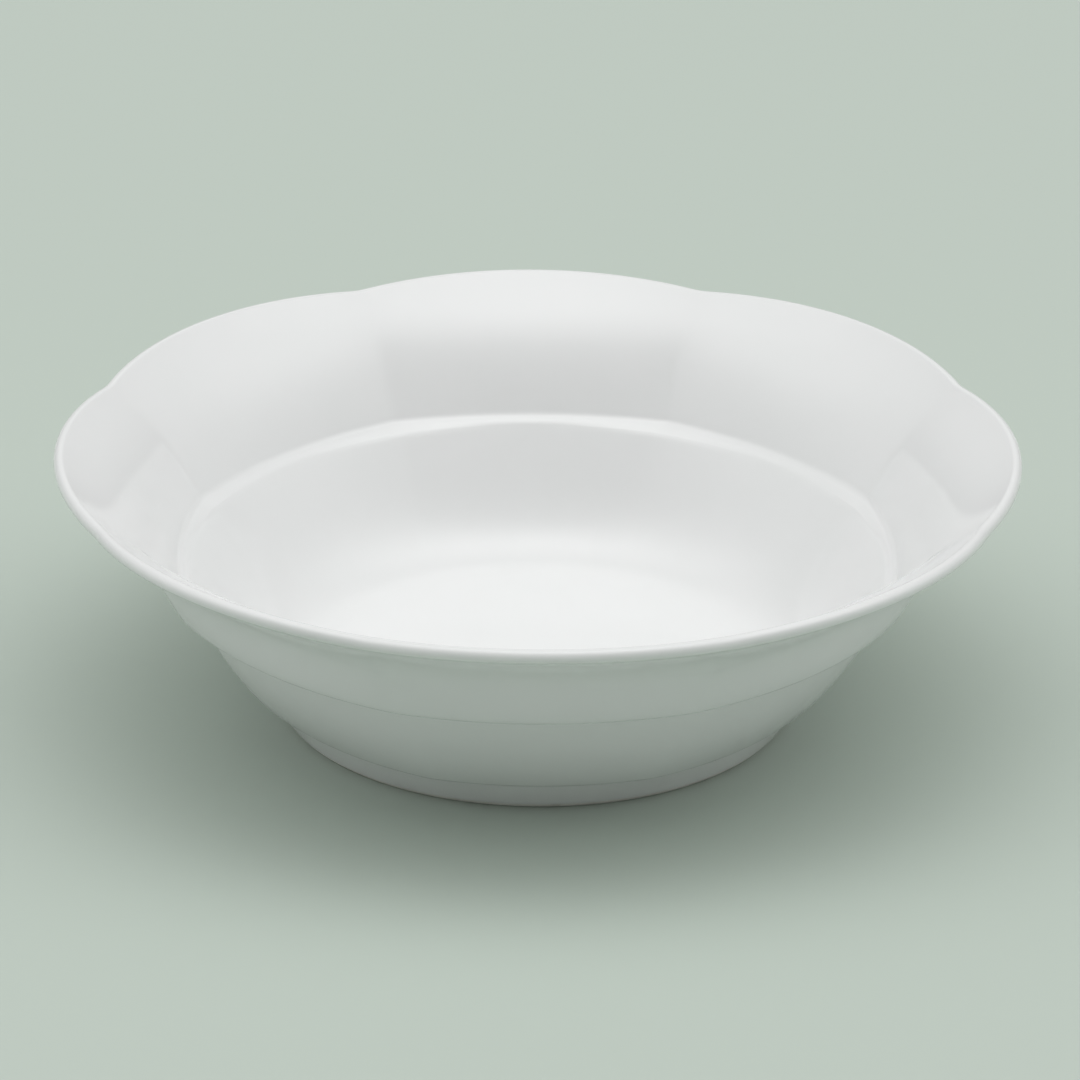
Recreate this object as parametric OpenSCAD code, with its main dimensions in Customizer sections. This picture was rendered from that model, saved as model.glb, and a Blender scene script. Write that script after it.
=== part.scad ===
// Porcelain serving bowl with shallow lobes, two steps outside, a matching
// ledge inside, a flaring rim with a rounded lip, and a round foot ring.
// Millimetres, +Z up, origin on the table under the centre of the bowl.
// The middle of one lobe points along +X.

/* [Overall] */
// Widest diameter, across the middles of two opposite lobes
rim_d = 250; // [230:1:310]
// Height from the table to the crest of the lip
bowl_h = 70.7; // [62:0.1:90]

/* [Lobes] */
// Number of lobes round the bowl
lobes = 8; // [6:1:10]
// How far the rim draws in at the fold between two lobes
rim_notch = 2.4; // [0:0.1:4]
// How far the lip dips at a fold
rim_dip = 1.4; // [0:0.1:3]
// How far the side wall stands out at a fold
cove_fold = 3; // [0:0.1:4]
// How far the inside ledge stands out at a fold
ledge_fold = 2.4; // [0:0.1:3]
// How far the upper step stands out at a fold
upper_fold = 1; // [0:0.1:2]
// How far the lower step stands out at a fold
lower_fold = 1.3; // [0:0.1:2]

/* [Upper step] */
// Radius of the edge under the upper tier
upper_r = 96.2; // [90:0.1:102]
// Height of that edge above the table
upper_h = 37.4; // [30:0.1:44]
// How far the wall steps in under the upper tier
upper_in = 4.4; // [2.6:0.1:6]

/* [Lower step] */
// Radius of the edge under the middle tier
lower_r = 72.8; // [70:0.1:80]
// Height of that edge above the table
lower_h = 9.2; // [8:0.1:14]
// How far the wall steps in above the foot
lower_in = 1.6; // [1.2:0.1:3]

/* [Walls] */
// Thickness of the flaring wall
wall = 3; // [2.4:0.1:3.4]
// Thickness of the rounded lip
lip_t = 3.5; // [3.4:0.1:5]
// Thickness from the inner corner of the upper step to the edge of the ledge
ledge_wall = 3.5; // [3:0.1:5]
// Width of the inside ledge
ledge_w = 2.3; // [1.6:0.1:4]
// Thickness of the flat base
base_t = 3.9; // [3:0.1:5]
// Radius of the flat floor inside
floor_r = 57; // [45:0.5:64]

/* [Foot] */
// Outer diameter of the foot ring where it meets the table
foot_d = 132; // [110:0.5:136]
// Width of the foot ring
foot_w = 4.2; // [3.4:0.1:8]
// Depth of the hollow under the base
recess_h = 5.8; // [4.8:0.1:6.5]
// Rounding of the foot ring's two bottom edges
foot_round = 1.1; // [0.4:0.1:1.3]
// Fillet between the foot ring and the underside of the base
recess_fillet = 1.6; // [0.6:0.1:3]

/* [Glaze] */
// Thickness of the glaze
glaze_t = 0.25; // [0.15:0.05:0.4]
// Height of the bare porcelain edge at the bottom of the foot
bare_h = 1.5; // [1.4:0.1:2.5]

/* [Hidden] */
$fn = 96;
columns_per_lobe = 8;
columns = lobes * columns_per_lobe;

// Slopes of the walls above the horizontal, in degrees
flare_slope = 30;
cove_slope = 65;
tier_slope = 56;
well_slope = 54;
tread_slope = 10;
ledge_slope = 19;
middle_top_slope = 62;
middle_end_slope = 47;

// Lengths over which the edges of the steps and of the ledge are rounded
edge_run = 1.8;
small_edge_run = 1.3;

// Direction from the inner corner of the upper step to the edge of the ledge
ledge_angle = 107;

// Directions from the middle of the lip: to its crest, where the inside and
// outside glazes meet, and to its underside, where the lip ends
crest_angle = 60;
under_angle = -80;

// How far along the flare its underside runs from the upper tier (the
// shoulder) to the lip (the neck), as shares of its length
shoulder_t = 0.34;
neck_t = 0.88;

// How strongly the curves hold their end slopes, as shares of their length
well_pull = 0.42;
cove_low_pull = 0.5;
cove_high_pull = 0.35;
tier_pull = 1 / 3;

// Shares of the folds' stand-out that are left at the top of the well, which
// is round further down, and low on the cove
well_top_share = 0.4;
cove_low_share = 0.7;

// Half the share of a curve over which its direction is taken
nudge = 0.01;

// Rings of points on each stretch of the profile
well_rings = 7;
edge_rings = 2;
cove_rings = 8;
lip_in_rings = 3;
lip_out_rings = 4;
flare_rings = 5;
tier_rings = 3;
middle_rings = 5;

// A profile point is [radius, height, stand-out at a fold, dip at a fold].
function along(angle, length) = [length * cos(angle), length * sin(angle), 0, 0];
function mix(a, b, t) = a + (b - a) * t;
function bend(a, b, c, t) = mix(mix(a, b, t), mix(b, c, t), t);
function sweep(a, b, c, d, t) = mix(bend(a, b, c, t), bend(b, c, d, t), t);
function bend_points(a, b, c, n) = [for (i = [0:n - 1]) bend(a, b, c, i / n)];
function sweep_points(a, b, c, d, n) = [for (i = [0:n - 1]) sweep(a, b, c, d, i / n)];

// The run from a to b in the plane of the profile: its length, its direction
// and its left-hand normal
function length_of(a, b) = norm([b[0] - a[0], b[1] - a[1]]);
function heading(a, b) = [b[0] - a[0], b[1] - a[1], 0, 0] / length_of(a, b);
function left_normal(a, b) =
    let (h = heading(a, b))
    [-h[1], h[0], 0, 0];

// Outside: the steps under the upper tier and under the middle tier
upper_edge = [upper_r, upper_h, upper_fold, 0];
upper_back = upper_edge + along(180 + tread_slope, upper_in);
upper_middle = mix(upper_edge, upper_back, 0.5);
lower_edge = [lower_r, lower_h, lower_fold, 0];
lower_back = lower_edge + along(180 + tread_slope, lower_in) - [0, 0, lower_fold, 0];
lower_middle = mix(lower_edge, lower_back, 0.5);
middle_top = upper_back - along(middle_top_slope, edge_run);
middle_end = lower_edge + along(middle_end_slope, edge_run);
middle_reach = length_of(middle_top, middle_end) * tier_pull;

// Inside: the flat floor, the well, the ledge and the cove that flares to the lip
floor_h = recess_h + base_t;
floor_edge = [floor_r, floor_h, 0, 0];
ledge_edge = upper_back + along(ledge_angle, ledge_wall) + [0, 0, ledge_fold - upper_fold, 0];
ledge_back = ledge_edge + along(ledge_slope, ledge_w);
ledge_middle = mix(ledge_edge, ledge_back, 0.5);
well_top = ledge_edge - along(well_slope, small_edge_run) - [0, 0, ledge_fold * (1 - well_top_share), 0];
well_reach = length_of(floor_edge, well_top) * well_pull;
well_foot = floor_edge + along(0, well_reach);
cove_foot = ledge_back + along(cove_slope, small_edge_run);

lip_r = lip_t / 2;
lip_centre = [rim_d / 2 - lip_r, bowl_h - lip_r, -rim_notch, rim_dip];
cove_top = lip_centre + along(90 + flare_slope, lip_r);
cove_length = length_of(cove_foot, cove_top);
cove_low = cove_foot + along(cove_slope, cove_length * cove_low_pull) + [0, 0, cove_fold * cove_low_share, 0];
cove_high = cove_top - along(flare_slope, cove_length * cove_high_pull) + [0, 0, cove_fold, 0];
function cove(t) = sweep(cove_foot, cove_low, cove_high, cove_top, t);

// Outside of the flare: one wall thickness away, down to the shoulder
function flare_back(t) = cove(t) - left_normal(cove(t - nudge), cove(t + nudge)) * wall;
shoulder = flare_back(shoulder_t);
shoulder_down = heading(cove(shoulder_t + nudge), cove(shoulder_t - nudge));
tier_end = upper_edge + along(tier_slope, edge_run);
tier_reach = length_of(shoulder, tier_end) * tier_pull;

// The foot tapers in a straight line from the lower step to the table.
foot_r = foot_d / 2;
function foot_side(h) = foot_r + (lower_back[0] - foot_r) * h / lower_back[1];
foot_top = lower_back[1] - small_edge_run;

// Points round the lip, from one direction to another
function lip_points(from, to, first, count) = [
    for (i = [first:count]) lip_centre + along(mix(from, to, i / count), lip_r)
];

// The glazed profile, from the floor over the lip and down to the foot ring
inside_profile = concat(
    sweep_points(floor_edge, well_foot, well_top - along(well_slope, well_reach), well_top, well_rings),
    bend_points(well_top, ledge_edge, ledge_middle, edge_rings),
    bend_points(ledge_middle, ledge_back, cove_foot, edge_rings),
    [for (i = [0:cove_rings - 1]) cove(i / cove_rings)],
    lip_points(90 + flare_slope, crest_angle, 0, lip_in_rings - 1)
);
outside_profile = concat(
    lip_points(crest_angle, under_angle, 1, lip_out_rings),
    [for (i = [0:flare_rings - 1]) flare_back(mix(neck_t, shoulder_t, i / flare_rings))],
    sweep_points(
        shoulder,
        shoulder + shoulder_down * tier_reach,
        tier_end + along(tier_slope, tier_reach),
        tier_end, tier_rings
    ),
    bend_points(tier_end, upper_edge, upper_middle, edge_rings),
    bend_points(upper_middle, upper_back, middle_top, edge_rings),
    sweep_points(
        middle_top,
        middle_top - along(middle_top_slope, middle_reach),
        middle_end + along(middle_end_slope, middle_reach),
        middle_end, middle_rings
    ),
    bend_points(middle_end, lower_edge, lower_middle, edge_rings),
    bend_points(lower_middle, lower_back, [foot_side(foot_top), foot_top, 0, 0], edge_rings),
    [[foot_side(foot_top), foot_top, 0, 0], [foot_side(recess_h), recess_h, 0, 0]]
);
profile = concat(inside_profile, outside_profile);
crest = len(inside_profile) - 1;
last = len(profile) - 1;

// The porcelain lies one glaze thickness below the glazed profile. The ends
// stay in the plane of the floor's edge and in the plane of the foot ring.
function below(k) =
    k == 0 ? profile[0] - [0, glaze_t, 0, 0] :
    k == last ? profile[last] - [glaze_t, 0, 0, 0] :
    profile[k] - left_normal(profile[k - 1], profile[k + 1]) * glaze_t;
porcelain = [for (k = [0:last]) below(k)];

// 0 in the middle of a lobe and 1 at the fold between two lobes
function to_fold(angle) =
    let (lobe = 360 / lobes)
    abs(angle - lobe * round(angle / lobe)) * 2 / lobe;

function ring(p) = [
    for (i = [0:columns - 1])
        let (angle = 360 * i / columns, g = pow(to_fold(angle), 2), r = p[0] + p[2] * g)
        [r * cos(angle), r * sin(angle), p[1] - p[3] * g]
];

// Two triangles for each cell between rings a and b. A surface that is walked
// backwards takes the other diagonal, so that it matches its neighbour's.
function band(a, b, backwards) = [
    for (i = [0:columns - 1])
        let (j = (i + 1) % columns, p = a * columns, q = b * columns)
        each backwards
            ? [[p + i, p + j, q + i], [p + j, q + j, q + i]]
            : [[p + i, p + j, q + j], [p + i, q + j, q + i]]
];

// A solid through a list of profile points. Points after the turn run back
// along the other side. It is capped flat at both ends, or closed on itself.
module lobed(points, turn, capped) {
    n = len(points);
    walls = [for (k = [0:n - 2]) each band(k, k + 1, k > turn)];
    first_ring = [for (i = [columns - 1:-1:0]) i];
    last_ring = [for (i = [0:columns - 1]) (n - 1) * columns + i];
    ends = capped ? [first_ring, last_ring] : band(n - 1, 0, true);
    polyhedron([for (p = points) each ring(p)], concat(walls, ends));
}

module porcelain_body() {
    color([0.93, 0.92, 0.89])
        lobed(porcelain, last, true);
}

module inside_glaze() {
    skin = [for (k = [0:crest]) profile[k]];
    backing = [for (k = [crest:-1:0]) porcelain[k]];
    color([0.9, 0.91, 0.9])
        lobed(concat(skin, backing), crest, true);
}

module outside_glaze() {
    skin = [for (k = [crest:last]) profile[k]];
    backing = [for (k = [last:-1:crest]) porcelain[k]];
    color([0.84, 0.87, 0.84])
        lobed(concat(skin, backing), last - crest, false);
}

// Points of the foot ring's section, as [radius, height]
corner_steps = 4;
function flat_bend(a, b, c) = [for (i = [0:corner_steps]) bend(a, b, c, i / corner_steps)];
recess_r = foot_r - foot_w;
function recess_corner(inset) = flat_bend(
    [recess_r - inset, recess_h - recess_fillet],
    [recess_r - inset, recess_h - inset],
    [recess_r - recess_fillet, recess_h - inset]
);

module foot_ring() {
    outer = foot_r - glaze_t;
    section = concat(
        [[foot_side(recess_h) - glaze_t, recess_h]],
        flat_bend(
            [foot_side(foot_round) - glaze_t, foot_round],
            [outer, 0],
            [outer - foot_round, 0]
        ),
        flat_bend([recess_r + foot_round, 0], [recess_r, 0], [recess_r, foot_round]),
        recess_corner(0)
    );
    color([0.93, 0.91, 0.86])
        rotate_extrude() polygon(section);
}

module foot_glaze() {
    color([0.82, 0.85, 0.82])
        rotate_extrude() polygon([
            [foot_side(recess_h), recess_h],
            [foot_side(recess_h) - glaze_t, recess_h],
            [foot_side(bare_h) - glaze_t, bare_h],
            [foot_side(bare_h), bare_h]
        ]);
}

module recess_glaze() {
    hidden_side = concat([[recess_r, bare_h]], recess_corner(0), [[0, recess_h]]);
    shown_side = concat([[recess_r - glaze_t, bare_h]], recess_corner(glaze_t), [[0, recess_h - glaze_t]]);
    back = [for (i = [len(shown_side) - 1:-1:0]) shown_side[i]];
    color([0.86, 0.88, 0.86])
        rotate_extrude() polygon(concat(hidden_side, back));
}

porcelain_body();
foot_ring();
inside_glaze();
outside_glaze();
foot_glaze();
recess_glaze();
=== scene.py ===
import math

import bpy
import numpy as np
from mathutils import Matrix, Vector


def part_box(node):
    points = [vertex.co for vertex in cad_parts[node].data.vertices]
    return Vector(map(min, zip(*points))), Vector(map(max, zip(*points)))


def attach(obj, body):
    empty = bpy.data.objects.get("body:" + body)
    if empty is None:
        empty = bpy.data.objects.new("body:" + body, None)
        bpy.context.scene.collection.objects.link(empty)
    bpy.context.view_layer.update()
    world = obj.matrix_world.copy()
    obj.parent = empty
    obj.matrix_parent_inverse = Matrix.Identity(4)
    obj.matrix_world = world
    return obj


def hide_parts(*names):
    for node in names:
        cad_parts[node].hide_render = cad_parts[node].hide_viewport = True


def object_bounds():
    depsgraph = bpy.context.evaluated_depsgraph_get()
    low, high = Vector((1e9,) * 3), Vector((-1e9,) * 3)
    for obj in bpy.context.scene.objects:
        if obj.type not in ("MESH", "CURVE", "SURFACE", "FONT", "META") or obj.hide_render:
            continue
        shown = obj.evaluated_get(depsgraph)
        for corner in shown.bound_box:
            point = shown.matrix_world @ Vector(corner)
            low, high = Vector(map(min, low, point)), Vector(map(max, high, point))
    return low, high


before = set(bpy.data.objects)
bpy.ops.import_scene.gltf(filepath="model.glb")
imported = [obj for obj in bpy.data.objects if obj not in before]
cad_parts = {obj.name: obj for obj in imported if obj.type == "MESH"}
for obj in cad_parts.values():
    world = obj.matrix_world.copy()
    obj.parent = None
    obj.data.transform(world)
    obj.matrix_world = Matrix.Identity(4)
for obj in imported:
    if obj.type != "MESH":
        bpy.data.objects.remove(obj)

cad_low, cad_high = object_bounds()
MM = 0.001

# ---------------------------------------------------------------- sizes, in mm
# Read from the frame
RIM_R = cad_high.x / MM
BOWL_H = cad_high.z / MM
GLAZE_T = (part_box("outside_glaze")[1].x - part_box("porcelain_body")[1].x) / MM
RECESS_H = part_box("foot_ring")[1].z / MM
BARE_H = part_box("foot_glaze")[0].z / MM
RECESS_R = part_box("recess_glaze")[1].x / MM

# The same as in part.scad, where each one is explained
LOBES = 8
RIM_NOTCH, RIM_DIP = 2.4, 1.4
COVE_FOLD, LEDGE_FOLD, UPPER_FOLD, LOWER_FOLD = 3.0, 2.4, 1.0, 1.3
UPPER_R, UPPER_H, UPPER_IN = 96.2, 37.4, 4.4
LOWER_R, LOWER_H, LOWER_IN = 72.8, 9.2, 1.6
WALL, LIP_R, LEDGE_WALL, LEDGE_W, BASE_T, FLOOR_R = 3.0, 1.75, 3.5, 2.3, 3.9, 57.0
FOOT_R, FOOT_ROUND, RECESS_FILLET = 66.0, 1.1, 1.6
FLARE_SLOPE, COVE_SLOPE, TIER_SLOPE, WELL_SLOPE, TREAD_SLOPE, LEDGE_SLOPE = 30, 65, 56, 54, 10, 19
MIDDLE_TOP_SLOPE, MIDDLE_END_SLOPE = 62, 47
EDGE_RUN, SMALL_EDGE_RUN = 1.8, 1.3
SHOULDER_T = 0.34
LEDGE_ANGLE, CREST_ANGLE, UNDER_ANGLE = 107, 60, -80
WELL_PULL, COVE_LOW_PULL, COVE_HIGH_PULL, TIER_PULL = 0.42, 0.5, 0.35, 1 / 3
WELL_TOP_SHARE, COVE_LOW_SHARE = 0.4, 0.7
NUDGE = 0.01

# Here the lip runs into the flare's underside in a curve: the direction in which it
# leaves the lip, and where it meets the flare, as a share of the flare's length
LIP_END_ANGLE = 190
NECK_T = 0.80

# Rows of the visual mesh on each stretch of the profile
WELL_ROWS, LEDGE_ROWS, COVE_ROWS = 36, 10, 80
LIP_IN_ROWS, LIP_OUT_ROWS, NECK_ROWS, FLARE_ROWS = 14, 22, 8, 26
TIER_ROWS, MIDDLE_ROWS, UPPER_STEP_ROWS, LOWER_STEP_ROWS = 16, 24, 9, 8
FOOT_ROWS, RING_ROWS, CORNER_ROWS = 2, 3, 8
FLOOR_ROWS, UNDERSIDE_ROWS = 12, 8

# Columns from the middle of a lobe to its fold, how strongly they gather at the fold,
# and the share of that half lobe over which the fold is rounded
HALF_LOBE_COLUMNS = 25
COLUMN_GATHERING = 1.6
FOLD_ROUNDING = 0.05

# Edges that turn more than this are shaded sharp
SHARP_ANGLE = math.radians(50)


# ------------------------------------------------------------- profile algebra
# A profile point is [radius, height, stand-out at a fold, dip at a fold].
def point(radius, height, fold=0.0, dip=0.0):
    return np.array([radius, height, fold, dip])


def along(angle, length):
    a = math.radians(angle)
    return point(length * math.cos(a), length * math.sin(a))


def mix(a, b, t):
    return a + (b - a) * t


def bend(a, b, c, t):
    return mix(mix(a, b, t), mix(b, c, t), t)


def sweep(a, b, c, d, t):
    return mix(bend(a, b, c, t), bend(b, c, d, t), t)


def steps(curve, count, start=0.0, end=1.0):
    """count points along curve(t), leaving the end out."""
    return [curve(start + (end - start) * i / count) for i in range(count)]


def bend_points(a, b, c, count):
    return steps(lambda t: bend(a, b, c, t), count)


def sweep_points(a, b, c, d, count):
    return steps(lambda t: sweep(a, b, c, d, t), count)


def left_normal(a, b):
    d = (b - a)[:2]
    return point(-d[1], d[0]) / np.linalg.norm(d)


def distance(a, b):
    return float(np.linalg.norm((b - a)[:2]))


def crossing(a, angle_a, b, angle_b):
    """Where the line from a meets the line through b."""
    u, v = along(angle_a, 1)[:2], along(angle_b, 1)[:2]
    reach = np.linalg.solve(np.array([u, -v]).T, (b - a)[:2])[0]
    middle = mix(a, b, 0.5)
    middle[:2] = a[:2] + u * reach
    return middle


# ---------------------------------------------------- the glazed profile's points
# Outside: the steps under the upper and the middle tier
upper_edge = point(UPPER_R, UPPER_H, UPPER_FOLD)
upper_back = upper_edge + along(180 + TREAD_SLOPE, UPPER_IN)
upper_middle = mix(upper_edge, upper_back, 0.5)
lower_edge = point(LOWER_R, LOWER_H, LOWER_FOLD)
lower_back = point(LOWER_R, LOWER_H) + along(180 + TREAD_SLOPE, LOWER_IN)
lower_middle = mix(lower_edge, lower_back, 0.5)

# Inside: the floor, the top of the well, the ledge and the foot of the cove
floor_edge = point(FLOOR_R, RECESS_H + BASE_T)
ledge_edge = upper_back + along(LEDGE_ANGLE, LEDGE_WALL) + point(0, 0, LEDGE_FOLD - UPPER_FOLD)
ledge_back = ledge_edge + along(LEDGE_SLOPE, LEDGE_W)
ledge_middle = mix(ledge_edge, ledge_back, 0.5)
well_fade = point(0, 0, LEDGE_FOLD * (1 - WELL_TOP_SHARE))
well_top = ledge_edge - along(WELL_SLOPE, SMALL_EDGE_RUN) - well_fade
cove_foot = ledge_back + along(COVE_SLOPE, SMALL_EDGE_RUN)

# The middle of the rounded lip, and the cove that flares up to it
lip = point(RIM_R - LIP_R, BOWL_H - LIP_R, -RIM_NOTCH, RIM_DIP)
cove_top = lip + along(90 + FLARE_SLOPE, LIP_R)
cove_length = distance(cove_foot, cove_top)
cove_rise = along(COVE_SLOPE, cove_length * COVE_LOW_PULL)
cove_low = cove_foot + cove_rise + point(0, 0, COVE_FOLD * COVE_LOW_SHARE)
cove_high = cove_top - along(FLARE_SLOPE, cove_length * COVE_HIGH_PULL) + point(0, 0, COVE_FOLD)


def cove(t):
    return sweep(cove_foot, cove_low, cove_high, cove_top, t)


def flare_back(t):
    """The flare's underside, one wall thickness away from the cove."""
    return cove(t) - left_normal(cove(t - NUDGE), cove(t + NUDGE)) * WALL


def foot_side(height):
    """Radius of the glazed side of the foot, a straight line from the lower step to the table."""
    return FOOT_R + (lower_back[0] - FOOT_R) * height / lower_back[1]


def foot(height):
    return point(foot_side(height), height)


# ------------------------------------------------------ the glazed profile's rows
def well_rows():
    reach = distance(floor_edge, well_top) * WELL_PULL
    foot_pull = floor_edge + along(0, reach)
    top_pull = well_top - along(WELL_SLOPE, reach)
    return sweep_points(floor_edge, foot_pull, top_pull, well_top, WELL_ROWS)


def ledge_rows():
    front = bend_points(well_top, ledge_edge, ledge_middle, LEDGE_ROWS)
    return front + bend_points(ledge_middle, ledge_back, cove_foot, LEDGE_ROWS)


def lip_rows(start, end, count):
    return steps(lambda t: lip + along(mix(start, end, t), LIP_R), count)


def flare_rows():
    """From the lip's underside down to the shoulder of the upper tier."""
    lip_end = lip + along(UNDER_ANGLE, LIP_R)
    neck = flare_back(NECK_T)
    run = flare_back(NECK_T - NUDGE) - neck
    run_angle = math.degrees(math.atan2(run[1], run[0]))
    turn = crossing(lip_end, LIP_END_ANGLE, neck, run_angle)
    under_lip = bend_points(lip_end, turn, neck, NECK_ROWS)
    return under_lip + steps(flare_back, FLARE_ROWS, NECK_T, SHOULDER_T)


def upper_tier_rows():
    shoulder = flare_back(SHOULDER_T)
    run = cove(SHOULDER_T - NUDGE) - cove(SHOULDER_T + NUDGE)
    down = point(run[0], run[1]) / np.linalg.norm(run[:2])
    end = upper_edge + along(TIER_SLOPE, EDGE_RUN)
    reach = distance(shoulder, end) * TIER_PULL
    shoulder_pull = shoulder + down * reach
    end_pull = end + along(TIER_SLOPE, reach)
    wall = sweep_points(shoulder, shoulder_pull, end_pull, end, TIER_ROWS)
    return wall + bend_points(end, upper_edge, upper_middle, UPPER_STEP_ROWS)


def middle_tier_rows():
    top = upper_back - along(MIDDLE_TOP_SLOPE, EDGE_RUN)
    end = lower_edge + along(MIDDLE_END_SLOPE, EDGE_RUN)
    reach = distance(top, end) * TIER_PULL
    top_pull = top - along(MIDDLE_TOP_SLOPE, reach)
    end_pull = end + along(MIDDLE_END_SLOPE, reach)
    return (
        bend_points(upper_middle, upper_back, top, UPPER_STEP_ROWS)
        + sweep_points(top, top_pull, end_pull, end, MIDDLE_ROWS)
        + bend_points(end, lower_edge, lower_middle, LOWER_STEP_ROWS)
    )


def foot_rows():
    top = foot(lower_back[1] - SMALL_EDGE_RUN)
    step = bend_points(lower_middle, lower_back, top, LOWER_STEP_ROWS)
    return step + steps(foot, FOOT_ROWS, top[1], RECESS_H)


def lowered(profile, foot_level):
    """The porcelain's surface, one glaze thickness under the glazed one. The floor's edge goes straight
    down and the side of the foot straight in, so that both stay in their own planes."""
    run = np.gradient(profile[:, :2], axis=0)
    normal = np.stack([-run[:, 1], run[:, 0]], 1) / np.linalg.norm(run, axis=1)[:, None]
    normal[0] = [0, 1]
    normal[foot_level:] = [1, 0]
    under = profile.copy()
    under[:, :2] -= normal * GLAZE_T
    return under


# ------------------------------------------------------------------ lobed grids
def column_angles():
    """Angles round the bowl, closer together at the folds between the lobes."""
    half = 1 - (1 - np.arange(HALF_LOBE_COLUMNS) / HALF_LOBE_COLUMNS) ** COLUMN_GATHERING
    lobe = np.concatenate([half, 2 - half[::-1][:-1], [1.0]])
    lobe = np.unique(np.round(lobe, 9))
    return (np.arange(LOBES)[:, None] * 2 + lobe[None, :]).ravel() * math.pi / LOBES


def fold_share(angles):
    """0 in the middle of a lobe, 1 at a fold, with the fold rounded off."""
    lobe = 2 * math.pi / LOBES
    t = np.abs(angles - lobe * np.round(angles / lobe)) * 2 / lobe
    start = 1 - FOLD_ROUNDING
    rounded = t**2 - np.maximum(t - start, 0) ** 2 / FOLD_ROUNDING
    return rounded / start


ANGLES = column_angles()
SHARE = fold_share(ANGLES)


def grid(profile):
    """Vertices of one ring for each profile point, in metres."""
    radius = profile[:, 0, None] + profile[:, 2, None] * SHARE
    height = profile[:, 1, None] - profile[:, 3, None] * SHARE
    return np.stack([radius * np.cos(ANGLES), radius * np.sin(ANGLES), height], -1) * MM


def disc(ring, count):
    """Rings that carry the last ring of a surface in to the axis, for a flat floor or underside."""
    shares = np.linspace(1, 0, count + 1)[1:-1]
    centre = np.array([0, 0, ring[0, 2]])
    return np.array([centre + (ring - centre) * s for s in shares])


def solid(name, rings, capped):
    """A closed mesh through the rings. It is capped by a point on the axis at both ends, or joined
    end to start."""
    count, columns = rings.shape[:2]
    verts = rings.reshape(-1, 3)
    i = np.arange(columns)
    j = (i + 1) % columns
    faces = []
    for k in range(count if not capped else count - 1):
        a, b = k * columns, (k + 1) % count * columns
        faces += np.stack([a + i, b + i, b + j, a + j], 1).tolist()
    if capped:
        first, last = len(verts), len(verts) + 1
        poles = [[0, 0, rings[0, 0, 2]], [0, 0, rings[-1, 0, 2]]]
        verts = np.concatenate([verts, poles])
        a = (count - 1) * columns
        faces += np.stack([np.full(columns, first), i, j], 1).tolist()
        faces += np.stack([np.full(columns, last), a + j, a + i], 1).tolist()
    mesh = bpy.data.meshes.new(name)
    mesh.from_pydata(verts.tolist(), [], faces)
    mesh.validate()
    mesh.polygons.foreach_set("use_smooth", np.ones(len(mesh.polygons), bool))
    mesh.set_sharp_from_angle(angle=SHARP_ANGLE)
    piece = bpy.data.objects.new(name, mesh)
    bpy.context.scene.collection.objects.link(piece)
    return piece


def place(piece, slot, *nodes):
    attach(piece, "root")
    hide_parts(*nodes)
    piece.data.materials.append(MATERIALS[slot])


# ------------------------------------------------------------------- materials
# A noise seldom leaves this range
NOISE_LOW, NOISE_HIGH = 0.3, 0.7


def material(name):
    made = bpy.data.materials.new(name)
    made.use_nodes = True
    nodes = made.node_tree.nodes
    nodes.clear()
    shader = nodes.new("ShaderNodeBsdfPrincipled")
    output = nodes.new("ShaderNodeOutputMaterial")
    made.node_tree.links.new(shader.outputs["BSDF"], output.inputs["Surface"])
    return made, shader


def noise(made, scale, detail, roughness=0.5):
    nodes, links = made.node_tree.nodes, made.node_tree.links
    where = nodes.new("ShaderNodeTexCoord")
    texture = nodes.new("ShaderNodeTexNoise")
    texture.inputs["Scale"].default_value = scale
    texture.inputs["Detail"].default_value = detail
    texture.inputs["Roughness"].default_value = roughness
    links.new(where.outputs["Object"], texture.inputs["Vector"])
    return texture.outputs["Fac"]


def ramp(made, value, stops):
    node = made.node_tree.nodes.new("ShaderNodeValToRGB")
    made.node_tree.links.new(value, node.inputs["Fac"])
    elements = node.color_ramp.elements
    while len(elements) < len(stops):
        elements.new(0.5)
    for element, (at, colour) in zip(elements, stops):
        element.position = at
        element.color = (*colour, 1)
    return node.outputs["Color"]


def span(made, value, low, high):
    """Carries a noise's usual range to the one from low to high."""
    node = made.node_tree.nodes.new("ShaderNodeMapRange")
    node.inputs["From Min"].default_value = NOISE_LOW
    node.inputs["From Max"].default_value = NOISE_HIGH
    node.inputs["To Min"].default_value = low
    node.inputs["To Max"].default_value = high
    made.node_tree.links.new(value, node.inputs["Value"])
    return node.outputs["Result"]


def bump(made, height, metres, normal=None):
    node = made.node_tree.nodes.new("ShaderNodeBump")
    node.inputs["Distance"].default_value = metres
    made.node_tree.links.new(height, node.inputs["Height"])
    if normal is not None:
        made.node_tree.links.new(normal, node.inputs["Normal"])
    return node.outputs["Normal"]


def glaze_material():
    made, shader = material("white_glaze")
    links = made.node_tree.links
    mottle = noise(made, scale=22, detail=3)
    stops = [(NOISE_LOW, (0.838, 0.852, 0.845)), (NOISE_HIGH, (0.858, 0.866, 0.862))]
    links.new(ramp(made, mottle, stops), shader.inputs["Base Color"])
    gloss = span(made, noise(made, scale=60, detail=4), low=0.07, high=0.13)
    links.new(gloss, shader.inputs["Roughness"])
    wave = bump(made, noise(made, scale=28, detail=1), metres=0.00006)
    orange_peel = bump(made, noise(made, scale=900, detail=2), metres=0.000003, normal=wave)
    links.new(orange_peel, shader.inputs["Normal"])
    shader.inputs["IOR"].default_value = 1.52
    return made


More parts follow.
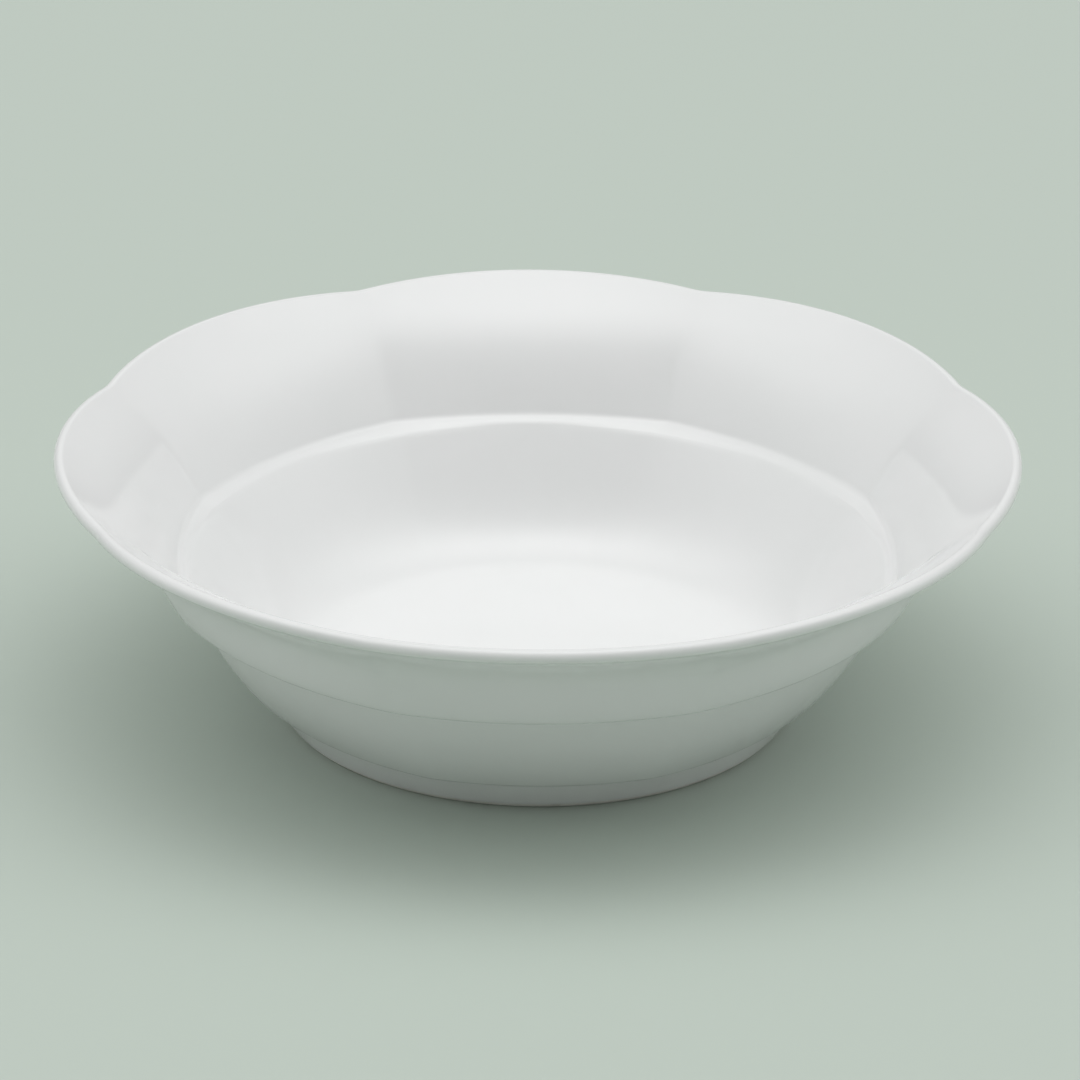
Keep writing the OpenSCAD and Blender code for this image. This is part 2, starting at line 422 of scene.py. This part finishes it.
def porcelain_material():
    made, shader = material("bare_porcelain")
    links = made.node_tree.links
    stain = noise(made, scale=90, detail=5, roughness=0.65)
    stops = [(0.34, (0.72, 0.7, 0.66)), (0.46, (0.83, 0.81, 0.77)), (NOISE_HIGH, (0.86, 0.845, 0.81))]
    links.new(ramp(made, stain, stops), shader.inputs["Base Color"])
    rough = span(made, noise(made, scale=700, detail=3), low=0.5, high=0.72)
    links.new(rough, shader.inputs["Roughness"])
    grain = bump(made, noise(made, scale=2600, detail=4, roughness=0.6), metres=0.00003)
    links.new(grain, shader.inputs["Normal"])
    return made


MATERIALS = {"glaze": glaze_material(), "porcelain": porcelain_material()}

# ------------------------------------------------------------ bowl and its glaze
inside_rows = (
    well_rows()
    + ledge_rows()
    + steps(cove, COVE_ROWS)
    + lip_rows(90 + FLARE_SLOPE, CREST_ANGLE, LIP_IN_ROWS)
)
outside_rows = (
    lip_rows(CREST_ANGLE, UNDER_ANGLE, LIP_OUT_ROWS)
    + flare_rows()
    + upper_tier_rows()
    + middle_tier_rows()
    + foot_rows()
)
ring_rows = steps(foot, RING_ROWS, RECESS_H, BARE_H) + [foot(BARE_H)]
profile = np.array(inside_rows + outside_rows + ring_rows)
crest = len(inside_rows)
foot_level = crest + len(outside_rows)

under = lowered(profile, foot_level)
skin, clay = grid(profile), grid(under)
floor_skin = disc(skin[0], FLOOR_ROWS)[::-1]
floor_clay = disc(clay[0], FLOOR_ROWS)[::-1]


def covered(first, last):
    """Every second ring of the clay from first to last, and the last one: enough under the glaze."""
    return clay[np.append(np.arange(first, last, 2), last)]


inside = np.concatenate([floor_skin, skin[: crest + 1], covered(0, crest)[::-1], floor_clay[::-1]])
place(solid("glaze_inside", inside, True), "glaze", "inside_glaze")

outside = np.concatenate([skin[crest:], covered(crest, len(clay) - 1)[::-1]])
place(solid("glaze_outside", outside, False), "glaze", "outside_glaze", "foot_glaze")

underside = disc(clay[foot_level], UNDERSIDE_ROWS)
shell = np.concatenate([floor_clay, covered(0, crest)[:-1], covered(crest, foot_level), underside])
place(solid("bowl_porcelain", shell, True), "porcelain", "porcelain_body")


# ----------------------------------------------------- foot ring and recess glaze
def round_rings(section):
    """Rings of a section of revolution, given as (radius, height) in mm."""
    return grid(np.array([point(r, z) for r, z in section]))


def corner(a, b, c):
    a, b, c = np.array(a), np.array(b), np.array(c)
    return [tuple(bend(a, b, c, i / CORNER_ROWS)) for i in range(CORNER_ROWS + 1)]


def recess_corner(inset):
    return corner(
        (RECESS_R - inset, RECESS_H - RECESS_FILLET),
        (RECESS_R - inset, RECESS_H - inset),
        (RECESS_R - RECESS_FILLET, RECESS_H - inset),
    )


outer_r = FOOT_R - GLAZE_T
foot_section = (
    [(row[0], row[1]) for row in under[foot_level:]]
    + corner((foot_side(FOOT_ROUND) - GLAZE_T, FOOT_ROUND), (outer_r, 0), (outer_r - FOOT_ROUND, 0))
    + corner((RECESS_R + FOOT_ROUND, 0), (RECESS_R, 0), (RECESS_R, FOOT_ROUND))
    + recess_corner(0)
)
place(solid("foot_porcelain", round_rings(foot_section), False), "porcelain", "foot_ring")

hidden = round_rings([(RECESS_R, BARE_H)] + recess_corner(0))
shown = round_rings([(RECESS_R - GLAZE_T, BARE_H)] + recess_corner(GLAZE_T))
recess = np.concatenate(
    [disc(hidden[-1], UNDERSIDE_ROWS)[::-1], hidden[::-1], shown, disc(shown[-1], UNDERSIDE_ROWS)]
)
place(solid("glaze_recess", recess, True), "glaze", "recess_glaze")


# ----------------------------------------------------------------------- stage
def floor():
    half = 4.0
    corners = [(-half, -half, 0), (half, -half, 0), (half, half, 0), (-half, half, 0)]
    mesh = bpy.data.meshes.new("floor")
    mesh.from_pydata(corners, [], [(0, 1, 2, 3)])
    piece = bpy.data.objects.new("floor", mesh)
    bpy.context.scene.collection.objects.link(piece)
    made, shader = material("pale_floor")
    shader.inputs["Base Color"].default_value = (0.53, 0.6, 0.54, 1)
    shader.inputs["Roughness"].default_value = 0.9
    shader.inputs["Specular IOR Level"].default_value = 0.2
    mesh.materials.append(made)


# Directions: azimuth 0 is in front of the bowl, where the camera stands, and 90 is on its right
def toward(azimuth, elevation):
    a, e = math.radians(azimuth), math.radians(elevation)
    return Vector((math.sin(a) * math.cos(e), -math.cos(a) * math.cos(e), math.sin(e)))


def softbox(name, away, distance, size, watts):
    """A square area light that faces the bowl."""
    lamp = bpy.data.lights.new(name, "AREA")
    lamp.shape = "SQUARE"
    lamp.size = size
    lamp.energy = watts
    light = bpy.data.objects.new(name, lamp)
    bpy.context.scene.collection.objects.link(light)
    light.location = away * distance
    light.rotation_euler = away.to_track_quat("Z", "Y").to_euler()


def studio(ambient, glows):
    """An even dim surround with soft glows, each one (azimuth, elevation, narrowness, strength)."""
    made = bpy.data.worlds.new("studio")
    made.use_nodes = True
    nodes, links = made.node_tree.nodes, made.node_tree.links

    def node(kind, operation, first, second):
        new = nodes.new(kind)
        new.operation = operation
        links.new(first, new.inputs[0])
        if isinstance(second, bpy.types.NodeSocket):
            links.new(second, new.inputs[1])
        else:
            new.inputs[1].default_value = second
        return new.outputs["Value"]

    direction = nodes.new("ShaderNodeTexCoord").outputs["Generated"]
    total = None
    for azimuth, elevation, narrowness, strength in glows:
        facing = node("ShaderNodeVectorMath", "DOT_PRODUCT", direction, toward(azimuth, elevation))
        lit = node("ShaderNodeMath", "POWER", node("ShaderNodeMath", "MAXIMUM", facing, 0.0), narrowness)
        glow = node("ShaderNodeMath", "MULTIPLY", lit, strength)
        total = node("ShaderNodeMath", "ADD", glow, ambient if total is None else total)
    links.new(total, nodes["Background"].inputs["Strength"])
    nodes["Background"].inputs["Color"].default_value = (1, 1, 1, 1)
    bpy.context.scene.world = made


# The camera looks down 24 degrees from 2.08 m away through a long lens
CAMERA_ELEVATION = 24.05
CAMERA_AZIMUTH = -1.46
CAMERA_ROLL = 0.58
CAMERA_DISTANCE = 2.076
CAMERA_LENS = 266.7
AIM_HEIGHT = 0.0452
AIM_RIGHT = 0.0007


def camera():
    back = toward(CAMERA_AZIMUTH, CAMERA_ELEVATION)
    right = toward(CAMERA_AZIMUTH + 90, 0)
    data = bpy.data.cameras.new("camera")
    data.lens = CAMERA_LENS
    made = bpy.data.objects.new("camera", data)
    bpy.context.scene.collection.objects.link(made)
    aim = Vector((0, 0, AIM_HEIGHT)) + right * AIM_RIGHT
    turn = back.to_track_quat("Z", "Y").to_matrix().to_4x4()
    roll = Matrix.Rotation(math.radians(CAMERA_ROLL), 4, "Z")
    made.matrix_world = Matrix.Translation(aim + back * CAMERA_DISTANCE) @ turn @ roll
    bpy.context.scene.camera = made


floor()
softbox("top_softbox", toward(180, 85), distance=1.7, size=1.6, watts=1.7)
studio(ambient=0.2, glows=[
    (0, 90, 8, 1.5),
    (0, 90, 30, 0.43),
    (0, 12, 10, 0.16),
    (-90, 55, 12, 1.08),
    (90, 55, 12, 1.3),
    (-95, 20, 8, 0.66),
    (95, 20, 8, 0.57),
    (180, 30, 12, 0.43),
])
camera()
bpy.context.scene.view_settings.view_transform = "Standard"
